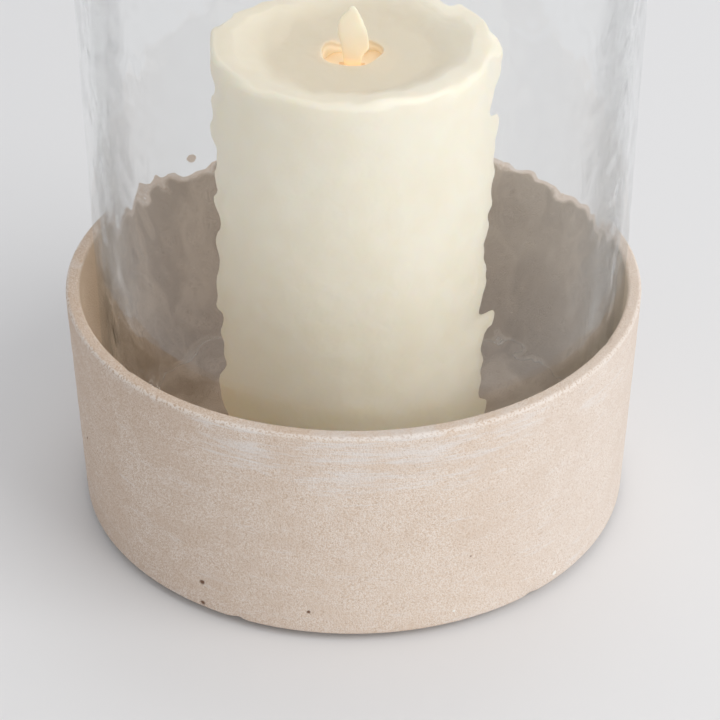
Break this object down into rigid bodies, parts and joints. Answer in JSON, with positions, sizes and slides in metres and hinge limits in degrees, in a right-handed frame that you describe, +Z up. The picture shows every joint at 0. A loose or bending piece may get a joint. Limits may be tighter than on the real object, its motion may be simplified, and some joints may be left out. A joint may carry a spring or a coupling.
{
  "type": "hurricane candle lantern",
  "caption": "Low limewashed clay bowl with an open hammered glass sleeve standing in it and a battery wax pillar candle whose hanging flame sways; sleeve and candle lift out.",
  "frame": {"origin": "on the table, under the centre of the clay bowl", "axes": "+Z up through the bowl's axis; +Y is the back, the candle's switch is at the front (-Y); the glass sleeve is pushed towards +X"},
  "size_m": [0.216, 0.216, 0.305],
  "materials": {
    "clay": "matt limewashed terracotta",
    "felt": "pressed wool felt",
    "hammered_glass": "clear, lightly hammered",
    "wax": "ivory paraffin wax, satin",
    "flame_plastic": "translucent frosted plastic",
    "amber_plastic": "translucent amber plastic",
    "ivory_plastic": "ivory ABS",
    "black_plastic": "black ABS",
    "cell_jacket": "plain printed steel jacket",
    "contact_metal": "nickel-plated strip",
    "spring_steel": "bright spring steel",
    "screw_steel": "zinc-plated",
    "magnet_metal": "nickel-plated magnet",
    "copper_wire": "enamelled copper",
    "insulated_wire": "PVC-covered wire",
    "board_green": "solder-masked board",
    "chip_black": "moulded epoxy",
    "lamp_lens": "clear warm lens"
  },
  "bodies": {
    "bowl": {"base_bowl": "clay", "felt_pads": "felt"},
    "sleeve": {"glass_sleeve": "hammered_glass"},
    "candle": {"wax_shell": "wax", "core_housing": "ivory_plastic", "battery_box": "ivory_plastic", "battery_cells": "cell_jacket", "positive_contact": "contact_metal", "negative_spring": "spring_steel", "power_leads": "insulated_wire", "circuit_board": "board_green", "drive_chip": "chip_black", "capacitor": "chip_black", "resistors": "chip_black", "board_screws": "screw_steel", "flame_frame": "ivory_plastic", "flame_bezel": "amber_plastic", "frame_screws": "screw_steel", "flame_axle": "spring_steel", "coil_bobbin": "black_plastic", "coil_winding": "copper_wire", "coil_leads": "copper_wire", "led_lamp": "lamp_lens", "led_leads": "spring_steel", "switch_body": "contact_metal", "switch_leads": "insulated_wire", "case_screws": "screw_steel"},
    "flame": {"flame_tongue": "flame_plastic", "flame_magnet": "magnet_metal"},
    "door": {"battery_door": "ivory_plastic", "bridge_contact": "contact_metal"},
    "knob": {"switch_knob": "black_plastic"}
  },
  "joints": [
    {"name": "sleeve_lift", "type": "slide", "parent": "bowl", "child": "sleeve", "axis": [0, 0, 1], "range_m": [0, 0.2]},
    {"name": "candle_lift", "type": "slide", "parent": "bowl", "child": "candle", "axis": [0, 0, 1], "range_m": [0, 0.31]},
    {"name": "flame_sway", "type": "hinge", "parent": "candle", "child": "flame", "pos_m": [0, 0, 0.1668], "axis": [0, 1, 0], "range_deg": [-6, 6]},
    {"name": "door_turn", "type": "hinge", "parent": "candle", "child": "door", "pos_m": [0, 0, 0.0102], "axis": [0, 0, 1], "range_deg": [0, 35]},
    {"name": "switch_slide", "type": "slide", "parent": "candle", "child": "knob", "axis": [1, 0, 0], "range_m": [0, 0.004]}
  ]
}
